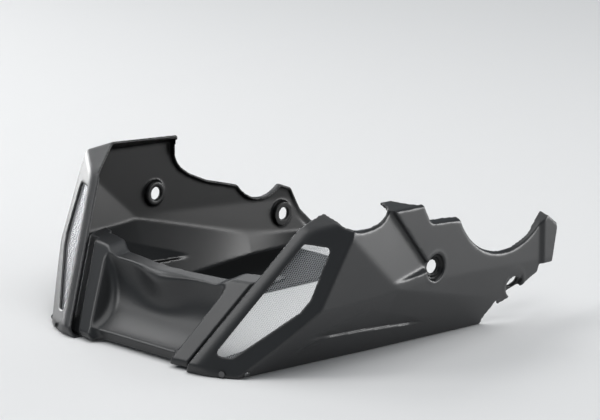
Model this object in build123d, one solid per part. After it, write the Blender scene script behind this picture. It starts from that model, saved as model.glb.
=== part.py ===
from build123d import *
import os
from math import cos, radians, sin

# Overall sizes in millimetres, stations measured rearward from the front low edge
wall = 3.0
reach = 900.0
front_station = -20.0
apex_station = 180.0
floor_station = 330.0
tail_station = 436.0

# Cross sections of a side panel as (x, z) corners: floor edge, lower crease, upper crease, top fold
front_section = ((127.0, 0.0), (180.6, 67.0), (181.5, 70.0), (206.9, 158.4))
apex_section = ((153.4, 0.0), (188.0, 67.0), (188.1, 71.0), (188.6, 146.7))
floor_section = ((170.0, 0.0), (175.9, 25.0), (179.2, 58.0), (179.5, 137.0))
tail_section = ((160.0, 0.0), (169.0, 9.0), (172.8, 48.5), (173.4, 130.0))
top_slope = 0.22
opening_x = 79.0
opening_taper = -0.08
opening_lean = 0.51
opening_spill = -12.0

# Facet planes as (point, yaw, rake), yaw from straight ahead towards the side, rake above level
strip_facet = ((83.7, -2.6, 9.2), 9.5, 32.9)
window_facet = ((96.1, -0.7, 9.0), 31.0, 21.3)
roof_facet = ((143.2, 93.8, 141.1), 18.6, 49.7)
strip_toe = ((83.7, -2.6, 9.2), 9.0, -18.0)
window_toe = ((96.1, -0.7, 9.0), 27.0, 1.4)

# Recessed flank panel on the left side
recess_facet = ((187.9, 179.4, 69.4), 98.0, 4.2)
recess_step = ((181.0, 202.5, 112.9), 180.0, 39.2)
recess_sill = ((188.0, 180.0, 72.0), 0.0, 83.7)

# Shallow wedge pressed into the lower flank, as (station, height) corners
wedge_corners = ((78.0, 34.0), (151.0, 51.0), (242.0, 20.0))
wedge_depth = 1.5

# Window opening as (along the crease, across from it)
window_corners = ((19.5, 4.7), (27.8, 20.2), (103.7, 42.7), (119.7, 42.7), (169.8, 25.7), (155.5, 2.7))
window_corner_radius = 3.5
crease_direction = (0.465, 0.733, 1.0)

# Side outline of the left panel as (station, height)
arch_centre = (135.7, 188.6)
arch_radius = 52.9
horn_end = (219.0, 143.2)
ledge_start = (229.5, 123.4)
fin_top = (398.0, 104.6)
fin_corner = (422.0, 86.5)
fin_foot = (416.0, 47.0)
fin_heel = (399.5, 47.4)
tail_corner = (397.5, 38.6)
tail_bend = (357.0, 20.0)
tail_floor = (328.0, 0.0)
big_arch_centre = (347.0, 150.0)
big_arch_radius = 78.4
fin_station = 401.0
fin_proud = 3.5
fin_web = 3.0
outline_datum = 182.0
ledge_slope = 0.35

# Inner edges of the turned flanges seen from above as (x, station)
left_flange = ((143.2, 93.0), (154.5, 112.0), (165.0, 178.0), (173.0, 199.0), (180.5, 211.0),
               (176.0, 232.0), (164.0, 400.0))
right_flange = ((143.2, 93.0), (157.0, 118.0), (168.5, 235.0))
flange_level = 95.0

# Side outline of the right panel as (station, height)
right_arch_foot = (233.0, 113.5)
right_arch_end = (316.0, 81.2)
notch_centre = (350.0, 96.9)
notch_radius = 36.1
right_peak = (374.0, 70.0)
right_shoulder = (392.0, 65.0)
right_slope = (398.0, 56.0)
right_tail = (429.0, 16.0)
right_heel = (420.0, 6.0)
right_floor = (392.0, 0.0)

# Floor flange cut away at the rear as (x, station)
floor_cut = ((46.0, 300.0), (120.0, 316.0), (166.0, 344.0))
floor_cut_height = 8.0

# Mounting holes
hole_radius = 6.5
left_upper_hole = (237.0, 78.0)
left_upper_recess_radius = 13.0
left_upper_ring_radius = 9.8
left_lower_hole = (361.0, 34.0)
left_lower_tilt = 30.0
left_lower_recess_radius = 12.5
right_upper_hole = (206.0, 90.0)
right_lower_hole = (378.0, 38.0)
right_boss_radius = 12.5
pad_margin = 2.5
recess_depth = 3.0
ring_depth = 2.0
seat_thickness = 5.0

# Front cover
cover_recess = 6.0
cover_overlap = 8.0
cover_rail_start = 3.0
strip_edge_direction = (59.5, 96.4, 131.9)
cover_crease_foot = (60.5, 15.0)
cover_crease_head = (88.5, 83.5)
cover_side_toe_in = 8.0
cover_lip_height = 13.0
cover_lip_station = 9.0
cover_lip_rake = -14.0
cover_top_middle = 72.5
cover_top_flat = 58.0
cover_depth = 18.0
bowl_axis = (-3.7, 65.7)
bowl_radius = 54.2

# Foot tabs of the cover behind the front corners of the panels
tab_thickness = 3.0
tab_height = 10.0
tab_side = 146.0
tab_rear = 30.0

# Mesh sheets
mesh_thickness = 1.2
mesh_margin = 6.0

# Joining screws as (point on the skin, yaw, rake) of their heads
front_screw = ((118.5, 10.7, 4.6), 27.0, 1.4)
corner_screw = ((136.8, 25.5, 5.3), 82.5, -36.4)
screw_radius = 1.75
screw_head_radius = 3.0
screw_head_height = 1.6
screw_length = 8.5


def facing(yaw, rake):
    """Outward direction of a facet turned by yaw from straight ahead and raised by rake."""
    level = cos(radians(rake))
    return Vector(sin(radians(yaw)) * level, -cos(radians(yaw)) * level, sin(radians(rake)))


def beyond(facet, inset=0.0):
    """Everything outside a facet plane after moving it inward by inset."""
    point, yaw, rake = facet
    outward = facing(yaw, rake)
    plane = Plane(origin=Vector(*point) - outward * inset, z_dir=outward)
    return plane * Box(reach, reach, reach, align=(Align.CENTER, Align.CENTER, Align.MIN))


def moved_inward(corners, insets):
    """Corners of a closed outline after each of its edges moves inward by its own inset."""
    lines = []
    for (ax, az), (bx, bz) in zip(corners, corners[1:] + corners[:1]):
        length = ((bx - ax) ** 2 + (bz - az) ** 2) ** 0.5
        lines.append(((az - bz) / length, (bx - ax) / length, ax, az))
    moved = []
    for index, inset in enumerate(insets):
        p, q, ax, az = lines[index - 1]
        r, s, bx, bz = lines[index]
        first = p * ax + q * az + insets[index - 1]
        second = r * bx + s * bz + inset
        cross = p * s - q * r
        moved.append(((first * s - q * second) / cross, (p * second - first * r) / cross))
    return moved


def section(station, corners, inset):
    """Closed cross section of a side panel at one station."""
    floor_inner = (opening_x + opening_taper * station, 0.0)
    top_x, top_z = corners[-1]
    rise = (top_z + top_slope * (top_x - floor_inner[0])) / (1 + top_slope * opening_lean)
    top_inner = (floor_inner[0] + opening_lean * rise, rise)
    insets = [inset] * 5 + [opening_spill if inset > 0 else 0.0]
    points = moved_inward([floor_inner, *corners, top_inner], insets)
    return Face(Wire.make_polygon([Vector(x, station, z) for x, z in points], close=True))


def block(inset):
    """Solid enclosed by the faceted skin of a side panel, moved inward by inset."""
    stations = (front_station, apex_station, floor_station, tail_station)
    shapes = (front_section, apex_section, floor_section, tail_section)
    body = loft([section(y, corners, inset) for y, corners in zip(stations, shapes)], ruled=True)
    for facet in (strip_facet, window_facet, roof_facet, strip_toe, window_toe):
        body = body - beyond(facet, inset)
    return body


def side_face(points):
    """Face in the side view from (station, height) corners."""
    plane = Plane(origin=(outline_datum, 0, 0), x_dir=(0, 1, 0), z_dir=(1, 0, 0))
    return plane * Face(Wire.make_polygon([Vector(y, z, 0) for y, z in points], close=True))


def across(points, slope=0.0):
    """Side-view outline swept across the whole panel, climbing inward by slope."""
    return extrude(side_face(points), amount=reach / 3, dir=(-1, 0, slope), both=True)


def disc(centre, radius, height, x, tilt=0.0):
    """Cylinder lying across the panel, from x inward, with its outer end tipped down by tilt."""
    y, z = centre
    axis = Vector(-cos(radians(tilt)), 0, sin(radians(tilt)))
    plane = Plane(origin=(x, y, z), z_dir=axis)
    return plane * Cylinder(radius, height, align=(Align.CENTER, Align.CENTER, Align.MIN))


def skin_x(station):
    """Outer face of the upper flank at a station."""
    span = (station - apex_station) / (tail_station - apex_station)
    return apex_section[2][0] + span * (tail_section[2][0] - apex_section[2][0])


def window_plane():
    """Plane of the window facet with its x axis along the strip crease."""
    point, yaw, rake = window_facet
    return Plane(origin=point, x_dir=Vector(*crease_direction).normalized(), z_dir=facing(yaw, rake))


def window_outline(margin=0.0):
    """Rounded outline of the window, grown by margin."""
    face = Face(Wire.make_polygon([Vector(a, -b, 0) for a, b in window_corners], close=True))
    if margin > 0:
        face = offset(face, amount=margin, kind=Kind.INTERSECTION)
    face = fillet(face.vertices(), window_corner_radius)
    return window_plane() * face


def flange_trim(edge):
    """Space inboard of the turned flanges."""
    rear = edge[-1]
    corners = [(0.0, edge[0][1]), *edge, (rear[0], reach), (0.0, reach)]
    face = Face(Wire.make_polygon([Vector(x, y, flange_level) for x, y in corners], close=True))
    return extrude(face, amount=reach, dir=(0, 0, 1))


def floor_trim():
    """Space behind the slanted rear edge of the floor flange."""
    inner, middle, outer = floor_cut
    corners = [(0.0, inner[1]), inner, middle, outer, (outer[0], reach), (0.0, reach)]
    face = Face(Wire.make_polygon([Vector(x, y, 0) for x, y in corners], close=True))
    return extrude(face, amount=floor_cut_height, dir=(0, 0, 1), both=True)


def left_upper(inset):
    """Space above the ledge, the step behind the horn and the fin."""
    drop = (fin_corner[1] - fin_top[1]) / (fin_corner[0] - fin_top[0])
    rear = (tail_station + reach / 10, fin_corner[1] + drop * (tail_station + reach / 10 - fin_corner[0]))
    top = reach / 3
    corners = [(horn_end[0], top), horn_end, ledge_start, fin_top, rear, (rear[0], top)]
    face = side_face(corners)
    if inset > 0:
        face = offset(face, amount=inset, kind=Kind.INTERSECTION)
    return extrude(face, amount=reach / 3, dir=(-1, 0, ledge_slope), both=True)


def left_recess(inset):
    """Shallow space in front of the slanted step on the left flank."""
    space = beyond(recess_facet, inset)
    space = space - beyond_back(recess_step, inset)
    return space & beyond(recess_sill, inset)


def beyond_back(facet, inset):
    """Everything behind a step plane after moving it rearward by inset."""
    point, yaw, rake = facet
    outward = facing(yaw, rake)
    plane = Plane(origin=Vector(*point) + outward * inset, z_dir=outward)
    return plane * Box(reach, reach, reach, align=(Align.CENTER, Align.CENTER, Align.MIN))


def left_block(inset):
    """Skin of the left panel with its ledge and recessed flank."""
    return block(inset) - left_upper(inset) - left_recess(inset)


def with_wedge(shell):
    """Shell whose wall steps inward over the pressed wedge."""
    zone = extrude(side_face(wedge_corners), amount=reach / 3, dir=(1, 0, 0), both=True)
    return (shell - zone) + ((block(wedge_depth) - block(wall + wedge_depth)) & zone)


def mounting_seat(shell, centre, x, radius, tilt=0.0):
    """Shell with a round pad inside, a recess from outside and a through hole."""
    pad = disc(centre, radius + pad_margin, recess_depth + seat_thickness, x, tilt)
    shell = shell + (pad & block(wall / 4))
    clear = reach / 20
    outer = offset_outward(clear, tilt)
    shell = shell - outer * disc(centre, radius, recess_depth + clear, x, tilt)
    return shell - outer * disc(centre, hole_radius, clear * 2, x, tilt)


def offset_outward(distance, tilt):
    """Move along the outward axis of a mounting hole."""
    return Pos(distance * cos(radians(tilt)), 0, -distance * sin(radians(tilt)))


def left_panel():
    """Left side panel as one moulded shell."""
    shell = with_wedge(left_block(0) - left_block(wall))
    top = reach / 3
    fin_zone = across([(fin_station, -top), (fin_station, top), (reach, top), (reach, -top)])
    web_rear = fin_station + fin_web
    web_zone = across([(fin_station, -top), (fin_station, top), (web_rear, top), (web_rear, -top)])
    proud = left_block(-fin_proud)
    fin = (proud - left_block(wall - fin_proud)) & fin_zone
    web = (proud - left_block(wall)) & web_zone
    shell = (shell - fin_zone) + fin + web
    upper_x = skin_x(left_upper_hole[0])
    shell = mounting_seat(shell, left_upper_hole, upper_x, left_upper_recess_radius)
    shell = shell - disc(left_upper_hole, left_upper_ring_radius, recess_depth + ring_depth, upper_x)
    lower_x = skin_x(left_lower_hole[0]) - wall / 2
    shell = mounting_seat(shell, left_lower_hole, lower_x, left_lower_recess_radius, left_lower_tilt)
    shell = shell - disc(arch_centre, arch_radius, top, top)
    shell = shell - disc(big_arch_centre, big_arch_radius, top, top)
    shell = shell - flange_trim(left_flange)
    tail = [fin_corner, fin_foot, fin_heel, tail_corner, tail_bend, tail_floor,
            (tail_floor[0], -top), (reach, -top), (reach, fin_corner[1])]
    return shell - across(tail) - floor_trim() - window_space() - screw_holes()


def window_space():
    """Space of the window through the skin."""
    return extrude(window_outline(), amount=wall * 3, both=True)


def right_panel():
    """Right side panel, built on the left and mirrored."""
    shell = with_wedge(block(0) - block(wall))
    upper_x = skin_x(right_upper_hole[0])
    lower_x = skin_x(right_lower_hole[0]) - wall / 2
    shell = mounting_seat(shell, right_upper_hole, upper_x, right_boss_radius - pad_margin)
    shell = mounting_seat(shell, right_lower_hole, lower_x, right_boss_radius - pad_margin)
    top = reach / 3
    rear = [(right_arch_foot[0], top), right_arch_foot, right_arch_end, right_peak, right_shoulder,
            right_slope, right_tail, right_heel, right_floor,
            (right_floor[0], -top), (reach, -top), (reach, top)]
    shell = shell - across(rear)
    shell = shell - disc(notch_centre, notch_radius, top, top)
    shell = shell - flange_trim(right_flange) - floor_trim()
    return mirror(shell - window_space() - screw_holes(), about=Plane.YZ)


def screw_plane(place, height=0.0):
    """Plane on the skin under a screw head, raised outward by height."""
    point, yaw, rake = place
    outward = facing(yaw, rake)
    return Plane(origin=Vector(*point) + outward * height, z_dir=outward)


def screw_holes():
    """Clearance of the two screws through one front corner, with a flat seat under each head."""
    rod = Cylinder(screw_radius, screw_length * 2)
    tool = rod + Cylinder(screw_head_radius, screw_length, align=(Align.CENTER, Align.CENTER, Align.MIN))
    return screw_plane(front_screw) * tool + screw_plane(corner_screw) * tool


def screws():
    """The two joining screws of one front corner."""
    up = (Align.CENTER, Align.CENTER, Align.MIN)
    down = (Align.CENTER, Align.CENTER, Align.MAX)
    screw = Cylinder(screw_head_radius, screw_head_height, align=up)
    screw = screw + Cylinder(screw_radius, screw_length, align=down)
    return [screw_plane(place) * screw for place in (front_screw, corner_screw)]


def strip_space(inset, lateral=0.0):
    """Space beyond the inner edge of a strip facet, moved outward by lateral."""
    outward = facing(*strip_facet[1:])
    edge = Vector(*strip_edge_direction).normalized()
    sideways = edge.cross(outward).normalized()
    plane = Plane(origin=Vector(*strip_facet[0]) + sideways * lateral, z_dir=sideways)
    return plane * Box(reach, reach, reach, align=(Align.CENTER, Align.CENTER, Align.MIN))


def both_sides(space):
    """A space together with its mirror image."""
    return space + mirror(space, about=Plane.YZ)


def cover_crease(corner):
    """Point of the crease beside a cover strip, from its (x, height)."""
    x, z = corner
    outward = facing(*strip_facet[1:])
    origin = Vector(*strip_facet[0]) - outward * cover_recess
    y = origin.Y - ((x - origin.X) * outward.X + (z - origin.Z) * outward.Z) / outward.Y
    return Vector(x, y, z)


def bowl_side(growth):
    """Everything outboard of the side wall of the bowl, moved outward by growth."""
    foot = cover_crease(cover_crease_foot)
    head = cover_crease(cover_crease_head)
    rearward = Vector(-sin(radians(cover_side_toe_in)), cos(radians(cover_side_toe_in)), 0)
    sideways = rearward.cross(head - foot).normalized()
    plane = Plane(origin=foot + sideways * growth, z_dir=sideways)
    return plane * Box(reach, reach, reach, align=(Align.CENTER, Align.CENTER, Align.MIN))


def bowl(growth):
    """Scooped space in the middle of the cover, grown on every side."""
    scoop = disc(bowl_axis, bowl_radius + growth, reach, reach / 2)
    slant = radians(cover_lip_rake)
    outward = Vector(0, -cos(slant), sin(slant))
    lip = Plane(origin=Vector(0, cover_lip_station, cover_lip_height) - outward * growth, z_dir=outward)
    scoop = scoop + lip * Box(reach, reach, reach, align=(Align.CENTER, Align.CENTER, Align.MIN))
    return scoop - both_sides(bowl_side(growth))


def cover_block(inset):
    """Solid enclosed by the skin of the front cover, moved inward by inset."""
    low = wall + inset
    slope = (cover_crease_head[1] - cover_top_middle) / (cover_crease_head[0] - cover_top_flat)
    side = cover_top_flat + (reach / 10)
    high = cover_top_middle + slope * reach / 10
    drop = inset * (1 + slope ** 2) ** 0.5
    right_half = [(cover_top_flat, cover_top_middle - inset), (side, high - drop), (side, low)]
    corners = right_half + [(-x, z) for x, z in reversed(right_half)]
    face = Face(Wire.make_polygon([Vector(x, 0, z) for x, z in corners], close=True))
    body = extrude(face, amount=reach / 3, dir=(0, 1, 0), both=True)
    for facet in (strip_facet, strip_toe):
        body = body - both_sides(beyond(facet, cover_recess + inset))
    return body


def cover():
    """Front cover as one moulded shell with its seat rails."""
    skin = cover_block(0) - bowl(0)
    inner = cover_block(wall) - bowl(wall)
    shell = skin - inner
    front_slab = both_sides(beyond(strip_facet, cover_recess + cover_depth))
    shell = shell & (front_slab + bowl(cover_depth))
    shell = shell - both_sides(strip_space(0, cover_overlap))
    rail = beyond(strip_facet, cover_recess + wall / 2) - beyond(strip_facet, wall)
    rail = rail - beyond(strip_toe, cover_recess) - strip_space(0, cover_overlap)
    rail = rail & strip_space(0, cover_rail_start) & cover_block(-wall)
    tab_box = Box(tab_side, reach, tab_height - wall, align=(Align.MIN, Align.MAX, Align.MIN))
    tab_box = Pos(0, tab_rear, wall) * tab_box
    tab = (block(wall) - block(wall + tab_thickness)) & tab_box
    tab = (tab & strip_space(0, cover_rail_start)) - screw_holes()
    return shell + both_sides(rail) + both_sides(tab)


def mesh():
    """Perforated sheet seated behind the left window."""
    face = window_outline(mesh_margin)
    outward = facing(*window_facet[1:])
    sheet = extrude(face.moved(Location(outward * -wall)), amount=mesh_thickness, dir=outward * -1)
    return sheet & left_block(wall)


left = left_panel()
right = right_panel()
front = cover()
mesh_left = mesh()
pair = screws()
joining = Compound(pair + [mirror(screw, about=Plane.YZ) for screw in pair])
nodes = {"side_panel_left": left, "side_panel_right": right, "front_cover": front, "mesh_left": mesh_left,
         "mesh_right": mirror(mesh_left, about=Plane.YZ), "joining_screws": joining}
box = Compound(list(nodes.values())).bounding_box()
middle = Pos(0, -(box.min.Y + box.max.Y) / 2, 0)

os.makedirs("parts", exist_ok=True)
for name, shape in nodes.items():
    print(name, shape.is_valid, len(shape.solids()), shape.volume)
    export_step(middle * shape, f"parts/{name}.step")
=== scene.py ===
import math
import bpy
import numpy as np
from mathutils import Matrix, Vector


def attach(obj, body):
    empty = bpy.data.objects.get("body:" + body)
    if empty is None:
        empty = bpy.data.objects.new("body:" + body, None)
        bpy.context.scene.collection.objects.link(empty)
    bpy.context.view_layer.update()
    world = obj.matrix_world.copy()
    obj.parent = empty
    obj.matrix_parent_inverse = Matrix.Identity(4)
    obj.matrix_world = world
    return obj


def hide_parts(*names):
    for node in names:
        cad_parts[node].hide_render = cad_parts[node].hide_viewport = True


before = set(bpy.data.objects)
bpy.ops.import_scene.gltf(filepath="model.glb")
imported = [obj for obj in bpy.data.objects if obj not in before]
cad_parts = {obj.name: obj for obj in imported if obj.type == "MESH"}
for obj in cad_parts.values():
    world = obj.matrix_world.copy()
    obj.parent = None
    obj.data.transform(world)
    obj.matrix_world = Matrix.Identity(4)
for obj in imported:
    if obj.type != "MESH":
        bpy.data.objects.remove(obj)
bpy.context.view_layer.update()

# Left side panel: one satin black ABS moulding, 3 mm thick, with soft creases between flat facets.
# Its front corner is a strip and a window facet, its flank has a raised rear half behind a slanted step.
# The upper edge is turned in, as a wide flange on the horn and ledge and as a narrow rim on the arches.

# Sizes are in millimetres: x outboard, y the station counted rearward from the front, z up.
WALL = 3.0
CELL = 1.42
MIDDLE_STATION = 213.216

# Roundings of the creases, the toes, the rims, the cut edges and the wall's two sides
CREASE = 2.2
FINE_CREASE = 0.25
LOWER_CREASE = 0.7
TOE = 2.0
RIM = 1.8
ARCH_RIM = 3.6
NOTCH_CORNER = 2.0
EDGE = 0.9
WALL_ROUNDING = 0.6

# Facets as (point, yaw, rake)
STRIP = ((83.7, -2.6, 9.2), 9.5, 32.9)
WINDOW = ((96.1, -0.7, 9.0), 31.0, 21.3)
ROOF = ((143.2, 93.8, 141.1), 18.6, 49.7)
FRONT_FLANK = ((187.9, 179.4, 69.4), 88.3, -6.0)
STRIP_TOE = ((83.7, -2.6, 9.2), 9.0, -18.0)
WINDOW_TOE = ((96.1, -0.7, 9.0), 27.0, 1.4)

# Window corners as (along the strip crease, across from it)
CREASE_DIRECTION = (0.465, 0.733, 1.0)
WINDOW_CORNERS = ((19.5, 4.7), (27.8, 20.2), (103.7, 42.7), (119.7, 42.7), (169.8, 25.7), (155.5, 2.7))
WINDOW_ROUNDING = 3.5
WINDOW_REACH = 15.0
WINDOW_END = 125.0

# (x, z) of the floor edge, lower crease, upper crease and top fold at four stations
STATIONS = (-20.0, 180.0, 330.0, 436.0)
SECTIONS = (((127.0, 0.0), (199.6, 91.0), (199.7, 93.0), (201.6, 158.5)),
            ((153.4, 0.0), (188.0, 67.0), (188.1, 71.0), (188.6, 146.7)),
            ((170.0, 0.0), (175.9, 25.0), (179.2, 58.0), (179.5, 137.0)),
            ((160.0, 0.0), (169.0, 9.0), (172.8, 48.5), (173.4, 130.0)))
TOP_SLOPE = 0.22

# Inboard limit of the wall: its x at the front and floor, and how it leans rearward and upward
OPEN_SIDE = 79.0
OPEN_TAPER = 0.08
OPEN_LEAN = 0.51
RIM_WIDTH = 9.0
RIM_SIDE = 140.0
FLOOR_BAND = 8.0

# Mount seats: through hole, and the pad's width around the recess and thickness behind it
MOUNT_HOLE = 6.5
PAD_MARGIN = 3.0
PAD_WALL = 4.0

# Pressed wedge: heights of its lower and upper edge at three stations
WEDGE_STATIONS = (78.0, 151.0, 242.0)
WEDGE_LOWER = (32.0, 27.5, 19.5)
WEDGE_UPPER = (35.0, 51.5, 20.5)
WEDGE_DEPTH = 2.6
SPEAR_DEPTH = 1.1

# Edges of the raised rear half of the flank
RECESS_FRONT = ((187.9, 179.4, 69.4), 98.0, 4.2)
RECESS_STEP = ((181.0, 202.5, 112.9), 180.0, 39.2)
RECESS_SILL = ((188.0, 180.0, 72.0), 0.0, 83.7)
FIN_STATION = 397.0
FIN_PROUD = 3.5

# Side outline as (station, height) corners with their radii, the arch over the engine and the big arch
LEFT_OUTLINE = ((-60, -60), (-60, 260), (219.5, 260), (219.5, 143.0), (230.0, 124.0), (398.0, 104.6),
                (422.0, 86.5), (423.0, 81.0), (415.8, 46.5), (399.5, 47.4), (397.5, 38.6), (357.0, 20.0),
                (341.0, 14.0), (328.0, -1.0), (320.0, -60.0))
LEFT_RADII = (0, 0, 0, 7, 9, 2, 3, 2, 2.5, 2, 4, 8, 4, 6, 0)
ENGINE_ARCH = ((112.6, 260), (112.6, 143.0), (120.0, 138.6), (130.0, 136.6), (146.0, 136.0), (161.0, 138.2),
               (172.5, 146.5), (173.5, 260))
ENGINE_ARCH_RADII = (0, 2, 8, 20, 30, 20, 9, 0)
BIG_ARCH = ((347.0, 150.0), 78.4)

# Inner edge of the turned rim as (station, x), rear edge of the floor as (x, station)
LEFT_RIM_EDGE = ((93, 143.2), (112.3, 155.3), (113.3, 182.5), (150, 182.0), (163, 181.5), (171, 180.5),
                 (174.5, 178.5), (177.8, 165.2), (193, 166.0), (199, 172.0), (205, 177.0), (214, 182.0),
                 (218, 181.0), (228, 177.0), (273, 175.0), (285, 176.5), (388, 170.5), (394, 168.0),
                 (423, 166.5))
LEFT_FLOOR_EDGE = ((46, 300), (120, 316), (166, 344))

# Each seat as ((station, height), x of the face, radius, depth, tilt, radius of the inner step)
LEFT_SEATS = (((237.0, 78.0), 184.7, 13.0, 3.5, 0.0, 9.8),
              ((361.0, 34.0), 175.8, 12.5, 4.0, 30.0, 0.0))


def smooth_max(a, b, radius):
    """Larger of two distances, with the corner between them rounded over a band of the given radius."""
    blend = np.maximum(radius - np.abs(a - b), 0.0)
    return np.maximum(a, b) + blend * blend / (4.0 * radius)


def smooth_min(a, b, radius):
    """Smaller of two distances, rounded in the same way."""
    return -smooth_max(-a, -b, radius)


def soft_step(t):
    """0 below 0, 1 above 1, and the cubic 3t^2 - 2t^3 between."""
    t = np.clip(t, 0.0, 1.0)
    return t * t * (3.0 - 2.0 * t)


def facing(yaw, rake):
    """Unit normal turned by yaw from straight ahead (-Y) towards +X and raised by rake."""
    yaw, rake = math.radians(yaw), math.radians(rake)
    return np.array([math.sin(yaw) * math.cos(rake), -math.cos(yaw) * math.cos(rake), math.sin(rake)])


def measured(point, n, x, y, z):
    """Distance n . (p - p0) from a point, measured along the unit vector n."""
    return n[0] * (x - point[0]) + n[1] * (y - point[1]) + n[2] * (z - point[2])


def above(facet, x, y, z):
    """Signed distance from a facet plane, positive outside."""
    point, yaw, rake = facet
    return measured(point, facing(yaw, rake), x, y, z)


def rounded_outline(corners, radii, steps=8):
    """Closed polygon whose corners are replaced by tangent arcs of the given radii."""
    corners = np.array(corners, float)
    pieces = []
    for index, radius in enumerate(radii):
        here = corners[index]
        back = corners[index - 1] - here
        ahead = corners[(index + 1) % len(corners)] - here
        back, ahead = back / np.hypot(*back), ahead / np.hypot(*ahead)
        half = 0.5 * math.acos(float(np.clip(back @ ahead, -1.0, 1.0)))
        if radius <= 0 or half > 1.55:
            pieces.append(here[None, :])
            continue
        middle = (back + ahead) / np.hypot(*(back + ahead))
        centre = here + middle * radius / math.sin(half)
        sweep = np.linspace(-1.0, 1.0, steps) * (math.pi / 2 - half)
        side = np.array([-middle[1], middle[0]])
        if side @ ahead < 0:
            side = -side
        pieces.append(centre + radius * (np.outer(-np.cos(sweep), middle) + np.outer(np.sin(sweep), side)))
    return np.vstack(pieces)


def outline_distance(u, v, outline):
    """Signed distance from a closed polygon in its plane, positive outside: the nearest edge gives the
    size, and the parity of crossings to the right gives the sign."""
    nearest = np.full(np.broadcast(u, v).shape, 1e9)
    inside = np.zeros(nearest.shape, bool)
    for (au, av), (bu, bv) in zip(outline, np.roll(outline, -1, axis=0)):
        du, dv = bu - au, bv - av
        t = np.clip(((u - au) * du + (v - av) * dv) / (du * du + dv * dv + 1e-12), 0.0, 1.0)
        nearest = np.minimum(nearest, (u - au - t * du) ** 2 + (v - av - t * dv) ** 2)
        slope = (bu - au) * (v - av) / (dv if abs(dv) > 1e-12 else 1e-12)
        inside ^= ((av > v) != (bv > v)) & (u < slope + au)
    return np.where(inside, -np.sqrt(nearest), np.sqrt(nearest))


def circle_inside(y, z, centre, radius):
    """radius - |(y, z) - centre|: positive inside the circle."""
    return radius - np.hypot(y - centre[0], z - centre[1])


def rod(x, y, z, centre, x_face, tilt):
    """Distance r from a rod's axis through (x_face, centre) and depth t along it, inward, with its
    outer end tipped down by tilt."""
    c, s = math.cos(math.radians(tilt)), math.sin(math.radians(tilt))
    dx, dy, dz = x - x_face, y - centre[0], z - centre[1]
    depth = -c * dx + s * dz
    return np.sqrt(np.maximum(dx * dx + dy * dy + dz * dz - depth * depth, 0.0)), depth


def linked(name, data):
    """Object that holds the given mesh, lamp or camera, in the scene."""
    thing = bpy.data.objects.new(name, data)
    bpy.context.scene.collection.objects.link(thing)
    return thing


def zero_surface(name, field, low, cell, skin):
    """Mesh of the surface where a sampled field changes sign: one vertex for each cell that the
    surface crosses, at the mean of the crossings on the cell's twelve edges, and one quad for each
    grid edge that it crosses. All of it is done on whole arrays. Faces more than half a wall behind
    the skin, by the skin's own distance, get the second material: they are the back of the wall,
    which that material paints darker and duller as painted shade."""
    inside = field < 0
    shape = np.array(field.shape) - 1
    total = np.zeros((*shape, 3), np.float32)
    count = np.zeros(shape, np.float32)
    ends = []
    for axis in range(3):
        near, far = [slice(None)] * 3, [slice(None)] * 3
        near[axis], far[axis] = slice(0, -1), slice(1, None)
        ends.append((tuple(near), tuple(far)))
    for axis, (near, far) in enumerate(ends):
        fa, fb = field[near], field[far]
        cross = inside[near] != inside[far]
        t = np.where(cross, fa / np.where(cross, fa - fb, 1.0), 0.0)
        others = [i for i in range(3) if i != axis]
        for i in (0, 1):
            for j in (0, 1):
                cut = [slice(None)] * 3
                cut[others[0]] = slice(i, i + shape[others[0]])
                cut[others[1]] = slice(j, j + shape[others[1]])
                hit = cross[tuple(cut)]
                count += hit
                total[..., axis] += t[tuple(cut)]
                total[..., others[0]] += hit * i
                total[..., others[1]] += hit * j
    used = count > 0
    number = np.full(shape, -1, np.int64)
    number[used] = np.arange(used.sum())
    cells = np.argwhere(used)
    points = (cells + total[used] / count[used][:, None]) * cell + np.array(low)
    faces = []
    for axis, (near, far) in enumerate(ends):
        first = inside[near]
        edges = np.argwhere(first != inside[far])
        o1, o2 = [(1, 2), (2, 0), (0, 1)][axis]
        keep = (edges[:, o1] > 0) & (edges[:, o2] > 0)
        keep &= (edges[:, o1] < shape[o1]) & (edges[:, o2] < shape[o2])
        edges = edges[keep]
        ring = []
        for d1, d2 in ((-1, -1), (0, -1), (0, 0), (-1, 0)):
            beside = edges.copy()
            beside[:, o1] += d1
            beside[:, o2] += d2
            ring.append(number[beside[:, 0], beside[:, 1], beside[:, 2]])
        quads = np.stack(ring, 1)
        outward = first[edges[:, 0], edges[:, 1], edges[:, 2]]
        faces.append(np.where(outward[:, None], quads, quads[:, ::-1]))
    faces = np.vstack(faces)
    points[:, 1] -= MIDDLE_STATION
    mesh = bpy.data.meshes.new(name)
    mesh.vertices.add(len(points))
    mesh.vertices.foreach_set("co", (points / 1000.0).astype(np.float32).ravel())
    mesh.loops.add(faces.size)
    mesh.loops.foreach_set("vertex_index", faces.astype(np.int32).ravel())
    mesh.polygons.add(len(faces))
    mesh.polygons.foreach_set("loop_start", np.arange(0, faces.size, 4, dtype=np.int32))
    mesh.polygons.foreach_set("use_smooth", np.ones(len(faces), bool))
    mesh.update(calc_edges=True)
    # Faces on the back of the wall get the darker, duller copy of the black: painted shade for the inside.
    depth = -skin[cells[:, 0], cells[:, 1], cells[:, 2]]
    back = depth[faces].mean(axis=1) > 0.6 * WALL
    mesh.polygons.foreach_set("material_index", back.astype(np.int32))
    mesh.validate()
    return linked(name, mesh)


def sample_grid(low, high, cell):
    """Three open coordinate arrays that broadcast to a grid of the given cell."""
    axes = [np.arange(a, b + cell, cell, dtype=np.float32) for a, b in zip(low, high)]
    return axes[0][:, None, None], axes[1][None, :, None], axes[2][None, None, :]


def corner(index, y):
    """(x, z) of one corner of the section, on straight lines between the four stations."""
    return [np.interp(y, STATIONS, [section[index][axis] for section in SECTIONS]) for axis in (0, 1)]


def flank_line(y):
    """x of the upper flank's outer face at a station."""
    return corner(2, y)[0]


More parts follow.
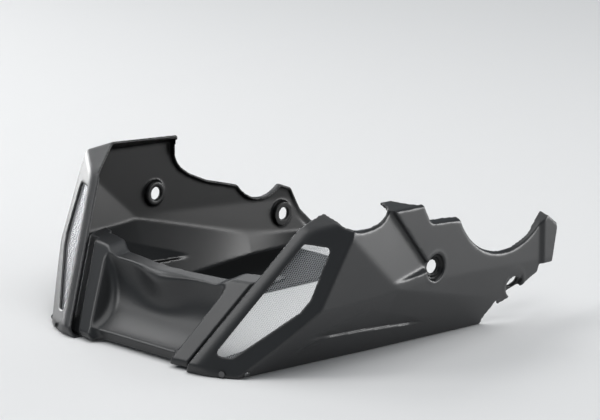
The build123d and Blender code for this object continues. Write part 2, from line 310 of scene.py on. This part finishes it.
def top_plane(x, y, z):
    """Signed distance from the top face, which falls rearward and rises inboard from the top fold."""
    fold_x, fold_z = corner(3, y)
    return (z - fold_z - TOP_SLOPE * (fold_x - x)) * 0.974


def flank_faces(x, y, z):
    """Side of the panel: the largest of the distances from the three lines that join the section's
    corners, each divided by the length of its slope, with fine creases between them."""
    corners = [corner(index, y) for index in range(4)]
    faces = []
    for (ax, az), (bx, bz) in zip(corners, corners[1:]):
        lean = (bx - ax) / (bz - az)
        faces.append((x - ax - lean * (z - az)) / np.sqrt(1.0 + lean * lean))
    side = smooth_max(faces[2], faces[1], FINE_CREASE)
    side = smooth_max(side, above(FRONT_FLANK, x, y, z), FINE_CREASE)
    return smooth_max(side, faces[0], LOWER_CREASE)


def pressed_wedge(y, z):
    """Depth of the long wedge pressed into the lower flank: nothing along its upper edge, growing
    towards its lower edge, which is a short rounded step, and fading out at the pointed ends."""
    lower = np.interp(y, WEDGE_STATIONS, WEDGE_LOWER)
    upper = np.interp(y, WEDGE_STATIONS, WEDGE_UPPER)
    share = (upper - z) / np.maximum(upper - lower, 1.0)
    depth = WEDGE_DEPTH * np.clip(share, 0.0, 1.0) ** 0.8 * soft_step((z - lower + 1.4) / 2.8)
    return depth * soft_step((y - WEDGE_STATIONS[0]) / 26.0) * soft_step((WEDGE_STATIONS[2] - y) / 30.0)


def spear_groove(y, z):
    """Depth of a second short groove in front of the wedge: a bell curve across a slanted line, which
    fades in and out along it."""
    along = (y - 78.0) * 0.94 + (z - 20.0) * 0.33
    off = -(y - 78.0) * 0.33 + (z - 20.0) * 0.94
    fade = SPEAR_DEPTH * soft_step((along + 4.0) / 12.0) * soft_step((46.0 - along) / 30.0)
    return fade * np.exp(-(off / 2.2) ** 2)


def panel_skin(x, y, z, top):
    """Common outer form of both panels: the largest of the plane distances, rounded at the creases,
    closed above by the distance from the panel's own top face."""
    f = smooth_max(above(STRIP, x, y, z), above(WINDOW, x, y, z), CREASE)
    side = flank_faces(x, y, z) + np.maximum(pressed_wedge(y, z), spear_groove(y, z))
    f = smooth_max(f, side, CREASE)
    f = smooth_max(f, above(ROOF, x, y, z), CREASE)
    f = smooth_max(f, above(STRIP_TOE, x, y, z), TOE)
    f = smooth_max(f, above(WINDOW_TOE, x, y, z), TOE)
    f = smooth_max(f, top, CREASE)
    return smooth_max(f, -z, TOE)


def panel_shell(f, contour, top, x, y, z, rim_edge, floor_edge):
    """Wall between the skin and its copy one wall inside, cut back at the slanted open side, inboard of
    the turned rim, whose inner edge is given as (station, x) points, and behind the slanted end of the
    floor, given as (x, station) points."""
    shell = smooth_max(f, -(f + WALL), WALL_ROUNDING)
    opening = (OPEN_SIDE - OPEN_TAPER * y + OPEN_LEAN * z - x) / 1.125
    shell = smooth_max(shell, opening, EDGE)
    stations, places = zip(*rim_edge)
    rim = np.maximum(np.maximum(contour, top), above(ROOF, x, y, z)) + RIM_WIDTH
    trim = np.minimum(np.interp(y, stations, places) - x, np.minimum(rim, y - stations[0]))
    shell = smooth_max(shell, trim, EDGE)
    across, along = zip(*floor_edge)
    rear = np.minimum((y - np.interp(x, across, along)) * 0.9, FLOOR_BAND - z)
    return smooth_max(shell, np.minimum(rear, across[-1] - x), EDGE)


def window_axes():
    """Unit normal of the window facet, the strip crease's direction laid into the facet, and the
    direction across it."""
    n = facing(*WINDOW[1:])
    along = np.array(CREASE_DIRECTION)
    along = along - n * (along @ n)
    along /= np.linalg.norm(along)
    return n, along, np.cross(along, n)


def window_distance(a, b):
    """Signed distance, in the facet, from the window's rounded outline, positive outside."""
    outline = rounded_outline(WINDOW_CORNERS, [WINDOW_ROUNDING] * len(WINDOW_CORNERS), 5)
    return outline_distance(a, b, outline)


def cut_window(shell, x, y, z):
    """Opening of the window: inside the rounded outline, within a short reach of the facet plane."""
    n, along, across = window_axes()
    hole = -window_distance(measured(WINDOW[0], along, x, y, z), measured(WINDOW[0], across, x, y, z))
    hole = np.minimum(hole, WINDOW_REACH - np.abs(above(WINDOW, x, y, z)))
    return smooth_max(shell, hole, EDGE)


def seat(shell, f, x, y, z, centre, x_face, radius, depth, tilt, ring):
    """Round recess in a flat pad with a through hole, and a second smaller step where ring is given."""
    r, t = rod(x, y, z, centre, x_face, tilt)
    pad = np.maximum(r - radius - PAD_MARGIN, np.maximum(f + 0.75, t - depth - PAD_WALL))
    shell = smooth_min(shell, pad, 2.0)
    shell = smooth_max(shell, np.minimum(radius - r, depth - t), 1.5)
    if ring > 0:
        shell = smooth_max(shell, np.minimum(ring - r, depth + 2.0 - t), 0.8)
    return smooth_max(shell, np.minimum(MOUNT_HOLE - r, t + 40.0), 0.8)


def finished_panel(name, shell, f, contour, x, y, z, low, seats):
    """Mesh of a panel's wall with its mount seats, its upper edge trimmed once more and its window cut,
    the last only in the front part of the grid, where the window is."""
    for place in seats:
        shell = seat(shell, f, x, y, z, *place)
    shell = smooth_max(shell, np.minimum(contour, x - RIM_SIDE), EDGE)
    front = y[0, :, 0] < WINDOW_END
    shell[:, front] = cut_window(shell[:, front], x, y[:, front], z)
    return zero_surface(name, shell, low, CELL, f)


def lowered(table, z_axis, z):
    """Values of a (station, height) table read at shifted heights, by linear interpolation."""
    step = z_axis[1] - z_axis[0]
    place = np.clip((z - z_axis[0]) / step, 0, len(z_axis) - 1.001)
    index = place.astype(np.int32)
    share = place - index
    rows = np.arange(table.shape[0])[None, :, None]
    return table[rows, index] * (1 - share) + table[rows, index + 1] * share


def rim_rounding(y):
    """Rounding of the upper edge: generous along the arches, tight along the horn and the ledge."""
    arches = soft_step((182.0 - y) / 10.0) + soft_step((y - 262.0) / 12.0) * soft_step((396.0 - y) / 10.0)
    return RIM + (ARCH_RIM - RIM) * arches


left_low = (50.0, -8.0, -3.0)
left_high = (202.0, 428.0, 162.0)
x, y, z = sample_grid(left_low, left_high, CELL)
side_y, side_z = y[0, :, :], z[0, :, :]
contour = outline_distance(side_y, side_z, rounded_outline(LEFT_OUTLINE, LEFT_RADII))
engine_arch = outline_distance(side_y, side_z, rounded_outline(ENGINE_ARCH, ENGINE_ARCH_RADII))
contour = smooth_max(contour, -engine_arch, NOTCH_CORNER)
contour = smooth_max(contour, circle_inside(side_y, side_z, *BIG_ARCH), NOTCH_CORNER)
rise = np.interp(y, (200.0, 225.0), (0.0, 0.35))
contour = lowered(contour, z[0, 0], z - rise * np.maximum(flank_line(y) - x, 0.0))

proud = FIN_PROUD * soft_step((y - FIN_STATION) / 6.0)
top = top_plane(x, y, z)
f = panel_skin(x - proud, y, z, top)
recess = smooth_min(above(RECESS_FRONT, x, y, z), -above(RECESS_STEP, x, y, z), 4.0)
recess = smooth_min(recess, above(RECESS_SILL, x, y, z), 6.0)
f = smooth_max(f, recess, 0.8)
f = smooth_max(f, contour, rim_rounding(y))
shell = panel_shell(f, contour, top, x, y, z, LEFT_RIM_EDGE, LEFT_FLOOR_EDGE)
left_panel = finished_panel("left_panel", shell, f, contour, x, y, z, left_low, LEFT_SEATS)
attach(left_panel, "root")
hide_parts("side_panel_left")


def plain_material(name):
    """New material: itself, its node tree and its shader."""
    material = bpy.data.materials.new(name)
    material.use_nodes = True
    return material, material.node_tree, material.node_tree.nodes["Principled BSDF"]


def cloud_noise(tree, scale, detail):
    """Noise texture that lies on the piece's own Object coordinates."""
    place = tree.nodes.new("ShaderNodeTexCoord")
    noise = tree.nodes.new("ShaderNodeTexNoise")
    noise.inputs["Scale"].default_value = scale
    noise.inputs["Detail"].default_value = detail
    tree.links.new(place.outputs["Object"], noise.inputs["Vector"])
    return noise


def mottle(tree, shader, noise, low, high, places=(0.0, 1.0)):
    """Base colour that runs from low to high with a noise, between two of its values."""
    ramp = tree.nodes.new("ShaderNodeValToRGB")
    for stop, colour, place in zip(ramp.color_ramp.elements, (low, high), places):
        stop.position, stop.color = place, (*colour, 1)
    tree.links.new(noise.outputs["Fac"], ramp.inputs["Fac"])
    tree.links.new(ramp.outputs["Color"], shader.inputs["Base Color"])


def uneven_gloss(tree, shader, noise, roughness, swing):
    """Roughness that goes with a noise from swing below to swing above its middle value."""
    gloss = tree.nodes.new("ShaderNodeMapRange")
    gloss.inputs["To Min"].default_value = roughness - swing
    gloss.inputs["To Max"].default_value = roughness + swing
    tree.links.new(noise.outputs["Fac"], gloss.inputs["Value"])
    tree.links.new(gloss.outputs["Result"], shader.inputs["Roughness"])


def fine_bump(tree, shader, noise, strength, distance):
    """Bump whose height follows a noise."""
    bump = tree.nodes.new("ShaderNodeBump")
    bump.inputs["Strength"].default_value = strength
    bump.inputs["Distance"].default_value = distance
    tree.links.new(noise.outputs["Fac"], bump.inputs["Height"])
    tree.links.new(bump.outputs["Normal"], shader.inputs["Normal"])


def satin_plastic(name, shade, roughness, specular):
    """Satin black moulded ABS: nearly flat colour with faint mottling, a fine spark-eroded grain in
    the bump, and slightly glossier and duller patches from handling."""
    material, tree, shader = plain_material(name)
    shader.inputs["Specular IOR Level"].default_value = specular
    patches = cloud_noise(tree, 14.0, 4.0)
    mottle(tree, shader, patches, (shade * 0.92, shade * 0.95, shade),
           (shade * 1.06, shade * 1.09, shade * 1.15), (0.35, 0.65))
    uneven_gloss(tree, shader, patches, roughness, 0.03)
    fine_bump(tree, shader, cloud_noise(tree, 1400.0, 2.0), 0.25, 0.0002)
    return material


panel_black = satin_plastic("panel_black", 0.02, 0.36, 0.5)
# Second black for the inner faces of the walls: the same plastic four times darker and less shiny, as
# painted shade for the dark inside.
panel_back_painted_shade = satin_plastic("panel_back_painted_shade", 0.005, 0.34, 0.26)
left_panel.data.materials.append(panel_black)
left_panel.data.materials.append(panel_back_painted_shade)

# Right side panel: the same moulding mirrored, with its own upper edge for the other side of the engine.
# Its flange runs wide from the front corner to a pointed end, and a rounded notch clears a pipe behind.
# Two bosses with through holes stand on its inner face.
RIGHT_OUTLINE = ((-60, -60), (-60, 260), (224.6, 260), (225.6, 151.5), (230.6, 142.6), (231.0, 130.0),
                 (234.5, 120.0), (240.5, 112.0), (253.0, 103.0), (276.0, 92.0), (303.0, 84.0),
                 (318.0, 79.5), (374.0, 71.0), (391.4, 63.7), (404.3, 39.3), (418.8, 24.8), (429.0, 16.0),
                 (420.0, 6.0), (392.0, -1.0), (385.0, -60.0))
RIGHT_RADII = (0, 0, 0, 1, 3, 12, 16, 16, 20, 24, 12, 0, 2, 5, 8, 20, 3, 4, 6, 0)
PIPE_NOTCH = ((350.0, 96.9), 36.1)
RIGHT_RIM_EDGE = ((93, 143.2), (127, 158.0), (226, 168.5), (230, 178.0), (240, 178.5), (300, 176.0),
                  (316, 175.5), (330, 171.5), (374, 169.5), (396, 170.0), (434, 168.0))
RIGHT_FLOOR_EDGE = ((46, 316), (98, 378), (130, 412), (160, 425))
RIGHT_SEATS = (((206.0, 90.0), 186.5, 10.0, 3.0, 0.0, 0.0),
               ((378.0, 38.0), 174.8, 10.0, 3.0, 0.0, 0.0))


def high_top_plane(x, y, z):
    """Top face of the taller right panel, steeper towards the inside than the left one's."""
    return (z - 151.2 + 0.083 * (y - 128.6) - 0.4 * (187.0 - x)) * 0.925


right_low = (50.0, -8.0, -3.0)
right_high = (202.0, 434.0, 164.0)
x, y, z = sample_grid(right_low, right_high, CELL)
side_y, side_z = y[0, :, :], z[0, :, :]
contour = outline_distance(side_y, side_z, rounded_outline(RIGHT_OUTLINE, RIGHT_RADII))
contour = smooth_max(contour, circle_inside(side_y, side_z, *PIPE_NOTCH), NOTCH_CORNER)
contour = contour[None]
top = high_top_plane(x, y, z)
f = panel_skin(x, y, z, top)
f = smooth_max(f, contour, RIM)
shell = panel_shell(f, contour, top, x, y, z, RIGHT_RIM_EDGE, RIGHT_FLOOR_EDGE)
right_panel = finished_panel("right_panel", shell, f, contour, x, y, z, right_low, RIGHT_SEATS)
right_panel.data.transform(Matrix.Scale(-1, 4, (1, 0, 0)))
right_panel.data.flip_normals()
right_panel.data.materials.append(panel_black)
right_panel.data.materials.append(panel_back_painted_shade)
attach(right_panel, "root")
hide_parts("side_panel_right")

# Front cover: a third moulding that joins the panels, set back a few millimetres behind their strips.
# Between its two own strips it is scooped out, with side walls and a rolled upper flange.
# A low band runs along its foot, and its outer margins are tucked behind the panels.
COVER_CELL = 1.1
SETBACK = 6.0
GAP_DEPTH = 4.0
GAP_EDGE = 6.5
GAP_SLOPE = 2.2
STRIP_OUTER_EDGE = (59.5, 96.4, 131.9)
SCOOP_CENTRE = (-3.7, 65.7)
SCOOP_RADIUS = 54.2
SCOOP_NARROWING = 13.0
MIDDLE_SPREAD = 31.0
SIDE_WALL_FOOT = (60.5, 15.0)
SIDE_WALL_HEAD = (88.5, 83.5)
SIDE_WALL_ROUNDING = 7.0
FOOT_BAND = (9.0, 13.0)
COVER_FOOT = 3.0
COVER_TOP = 76.6
STRIP_REACH = 17.0
FLANGE_REACH = 12.0
MARGIN_REACH = 8.0
FLANGE_ROUNDING = 8.0


def crease_point(px, pz):
    """Point of the recessed strip plane at a given x and height."""
    n = facing(*STRIP[1:])
    origin = np.array(STRIP[0]) - n * SETBACK
    return np.array([px, origin[1] - ((px - origin[0]) * n[0] + (pz - origin[2]) * n[2]) / n[1], pz])


cover_low = (-128.0, -6.0, 0.0)
cover_high = (128.0, 96.0, 104.0)
x, y, z = sample_grid(cover_low, cover_high, COVER_CELL)
mirrored = np.abs(x)
edge = np.array(STRIP_OUTER_EDGE)
sideways = np.cross(edge / np.linalg.norm(edge), facing(*STRIP[1:]))
sideways /= np.linalg.norm(sideways)
margin = measured(STRIP[0], sideways, mirrored, y, z)
gap = GAP_DEPTH * soft_step((margin + GAP_EDGE) / GAP_SLOPE)
strip = above(STRIP, mirrored, y, z) + SETBACK + gap
toe = above(STRIP_TOE, mirrored, y, z) + SETBACK

foot, head = crease_point(*SIDE_WALL_FOOT), crease_point(*SIDE_WALL_HEAD)
toe_in = math.radians(8.0)
rearward = np.array([-math.sin(toe_in), math.cos(toe_in), 0.0])
wall_normal = np.cross(rearward, head - foot)
wall_normal /= np.linalg.norm(wall_normal)
side_wall = measured(foot, wall_normal, mirrored, y, z)

middle = np.exp(-(mirrored / MIDDLE_SPREAD) ** 2)
scoop_radius = SCOOP_RADIUS - SCOOP_NARROWING * middle * soft_step((z - 30.0) / 44.0)
scoop = circle_inside(y, z, SCOOP_CENTRE, scoop_radius)
lip_rake = math.radians(-14.0)
lip = -math.cos(lip_rake) * (y - FOOT_BAND[0]) + math.sin(lip_rake) * (z - FOOT_BAND[1])
hollow = smooth_min(smooth_max(scoop, lip, 1.5), -side_wall, SIDE_WALL_ROUNDING)
rise = 7.0 * soft_step((mirrored - 68.0) / 22.0) + 2.0 * middle
top = (z - (COVER_TOP + rise + 0.12 * (y - 58.0))) * 0.97
f = smooth_max(strip, toe, TOE)
f = smooth_max(f, COVER_FOOT - z, 1.5)
f = smooth_max(f, top, 2.0)
f = smooth_max(f, hollow, 1.8 + 9.0 * middle * soft_step((z - 30.0) / 20.0))
shell = smooth_max(f, -(f + WALL), WALL_ROUNDING)
shell = smooth_max(shell, smooth_min(-STRIP_REACH - strip, -FLANGE_REACH - hollow, FLANGE_ROUNDING), EDGE)
shell = smooth_max(shell, margin - MARGIN_REACH, EDGE)
front_cover = zero_surface("scooped_cover", shell, cover_low, COVER_CELL, f)
front_cover.data.materials.append(panel_black)
front_cover.data.materials.append(panel_back_painted_shade)
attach(front_cover, "root")
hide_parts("front_cover")

# Window meshes: thin bright aluminium sheet, punched with rows of small hexagonal holes.
# Each is bonded behind its window, with its rows along the strip crease.
MESH_PITCH = 2.2
HOLE_RADIUS = 1.13
MESH_THICKNESS = 0.45
MESH_DEPTH = 3.5
MESH_MARGIN = 5.0
SAME_CORNER = 0.05
MESH_ROWS = (-4, 30)
MESH_COLUMNS = (0, 90)


def perforated_sheet(name, side):
    """Sheet of hexagonal rings on a staggered grid. A ring is six quads on each face, from the cell's
    outer hexagon to the hole's, and six on the hole's wall. Rings whose centre is inside the grown
    window outline are kept, equal corners are merged, and edges of only one ring get an outer wall."""
    n, along, across = window_axes()
    rows, columns = np.meshgrid(np.arange(*MESH_ROWS), np.arange(*MESH_COLUMNS), indexing="ij")
    a = (columns + 0.5 * (rows % 2)).ravel() * MESH_PITCH
    b = rows.ravel() * MESH_PITCH * math.sqrt(0.75)
    kept = window_distance(a, b) < MESH_MARGIN
    centres = np.stack([a[kept], b[kept]], 1)
    turn = np.radians(30.0 + 60.0 * np.arange(6))
    hexagon = np.stack([np.cos(turn), np.sin(turn)], 1)
    outer = centres[:, None] + hexagon * MESH_PITCH / math.sqrt(3.0)
    inner = centres[:, None] + hexagon * HOLE_RADIUS
    flat = np.concatenate([outer, inner], 1).reshape(-1, 2)
    keys, index = np.unique(np.round(flat / SAME_CORNER).astype(np.int64), axis=0, return_inverse=True)
    index = index.reshape(-1, 12)
    plane = np.zeros((len(keys), 2))
    plane[index.ravel()] = flat
    total = len(plane)
    depths = np.repeat([MESH_DEPTH - MESH_THICKNESS / 2, MESH_DEPTH + MESH_THICKNESS / 2], total)
    spread = np.concatenate([plane, plane])
    points = np.array(WINDOW[0]) + spread[:, :1] * along + spread[:, 1:] * across - depths[:, None] * n
    points[:, 1] -= MIDDLE_STATION
    points[:, 0] *= side
    out, hole = index[:, :6], index[:, 6:]
    out_next, hole_next = np.roll(out, -1, axis=1), np.roll(hole, -1, axis=1)
    front = np.stack([out, hole, hole_next, out_next], 2).reshape(-1, 4)
    back = front[:, ::-1] + total
    wall = np.stack([hole, hole + total, hole_next + total, hole_next], 2).reshape(-1, 4)
    sides = np.stack([out, out_next], 2).reshape(-1, 2)
    place, times = np.unique(np.sort(sides, axis=1), axis=0, return_inverse=True, return_counts=True)[1:]
    lone = sides[times[place.ravel()] == 1]
    rim = np.stack([lone[:, 0], lone[:, 1], lone[:, 1] + total, lone[:, 0] + total], 1)
    faces = np.vstack([front, back, wall, rim])
    if side > 0:
        faces = faces[:, ::-1]
    mesh = bpy.data.meshes.new(name)
    mesh.from_pydata((points / 1000.0).tolist(), [], faces.tolist())
    mesh.update()
    return linked(name, mesh)


def brushed_metal(name, shade, roughness, scale):
    """Bare metal with uneven polish: cloudy noise moves its roughness and its tone a little, and a fine
    noise gives a shallow bump."""
    metal, tree, shader = plain_material(name)
    shader.inputs["Metallic"].default_value = 1.0
    clouds = cloud_noise(tree, scale, 4.0)
    mottle(tree, shader, clouds, (shade * 0.85, shade * 0.86, shade * 0.88), (shade, shade, shade * 1.01))
    uneven_gloss(tree, shader, clouds, roughness, 0.08)
    fine_bump(tree, shader, cloud_noise(tree, scale * 25.0, 2.0), 0.3, 0.0001)
    return metal


bright_aluminium = brushed_metal("bright_aluminium", 0.92, 0.4, 60.0)
for sheet_name, node_name, side in (("window_mesh_left", "mesh_left", 1.0),
                                    ("window_mesh_right", "mesh_right", -1.0)):
    sheet = perforated_sheet(sheet_name, side)
    sheet.data.materials.append(bright_aluminium)
    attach(sheet, "root")
    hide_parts(node_name)

# Joining screws: two small flat-headed screws under each front corner, of dark plated steel.
# They go through the foot of the panel, and keep the solids' own shape.
dark_steel = brushed_metal("dark_plated_steel", 0.13, 0.36, 220.0)
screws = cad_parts["joining_screws"]
screws.data.materials.clear()
screws.data.materials.append(dark_steel)

# Studio: a plain pale floor that runs back past the picture, and a large soft light above it.
# Softboxes on the right, in front and behind light the strips, the scoop and the flanges, and two low
# ones light the sides and the far mesh.
floor_mesh = bpy.data.meshes.new("floor")
floor_mesh.from_pydata([(-6, -6, 0), (6, -6, 0), (6, 8, 0), (-6, 8, 0)], [], [(0, 1, 2, 3)])
floor = linked("floor", floor_mesh)
paper, tree, shader = plain_material("pale_paper")
shader.inputs["Base Color"].default_value = (0.74, 0.737, 0.735, 1)
shader.inputs["Roughness"].default_value = 0.9
floor.data.materials.append(paper)


def softbox(name, place, target, width, height, power, spread=180.0):
    """Rectangular area light at a place, turned to face a target, beamed by a grid of the given spread."""
    light = bpy.data.lights.new(name, "AREA")
    light.shape = "RECTANGLE"
    light.size, light.size_y, light.energy = width, height, power
    light.spread = math.radians(spread)
    lamp = linked(name, light)
    lamp.location = place
    lamp.rotation_euler = (Vector(target) - Vector(place)).to_track_quat("-Z", "Y").to_euler()


softbox("right_bank", (-1.75, -0.1, 1.7), (0.0, 0.0, 0.1), 1.3, 1.0, 14.0)
softbox("right_rear", (-1.9, 1.6, 1.4), (0.0, 0.0, 0.1), 1.0, 0.7, 5.0)
softbox("overhead", (0.55, 0.1, 2.5), (0.45, 0.1, 0.0), 2.5, 2.4, 41.0)
softbox("low_left", (1.5, 1.9, 0.2), (0.15, 0.0, 0.04), 2.0, 0.36, 38.0)
softbox("front_right", (-1.35, -1.7, 1.75), (0.0, -0.15, 0.08), 1.1, 1.0, 20.0)
softbox("low_right", (-2.3, 0.45, 0.3), (0.0, 0.0, 0.1), 1.2, 0.5, 3.5, 70.0)

world = bpy.data.worlds.new("studio")
bpy.context.scene.world = world
world.use_nodes = True
world.node_tree.nodes["Background"].inputs["Color"].default_value = (0.82, 0.92, 1.0, 1)
world.node_tree.nodes["Background"].inputs["Strength"].default_value = 0.22

# Camera: 45 degrees round to the left side and 15 degrees up, from 4.5 m with a long lens.
azimuth, elevation, distance = math.radians(45.0), math.radians(15.1), 4.5
aim = Vector((0.0, (234.3 - MIDDLE_STATION) / 1000.0, 0.1014))
forward = Vector((-math.sin(azimuth) * math.cos(elevation), math.cos(azimuth) * math.cos(elevation),
                  -math.sin(elevation)))
camera_data = bpy.data.cameras.new("camera")
camera_data.sensor_width = 36.0
camera_data.lens = 270.0
camera = linked("camera", camera_data)
camera.location = aim - forward * distance
camera.rotation_euler = forward.to_track_quat("-Z", "Y").to_euler()
bpy.context.scene.camera = camera
bpy.context.scene.view_settings.view_transform = "Standard"
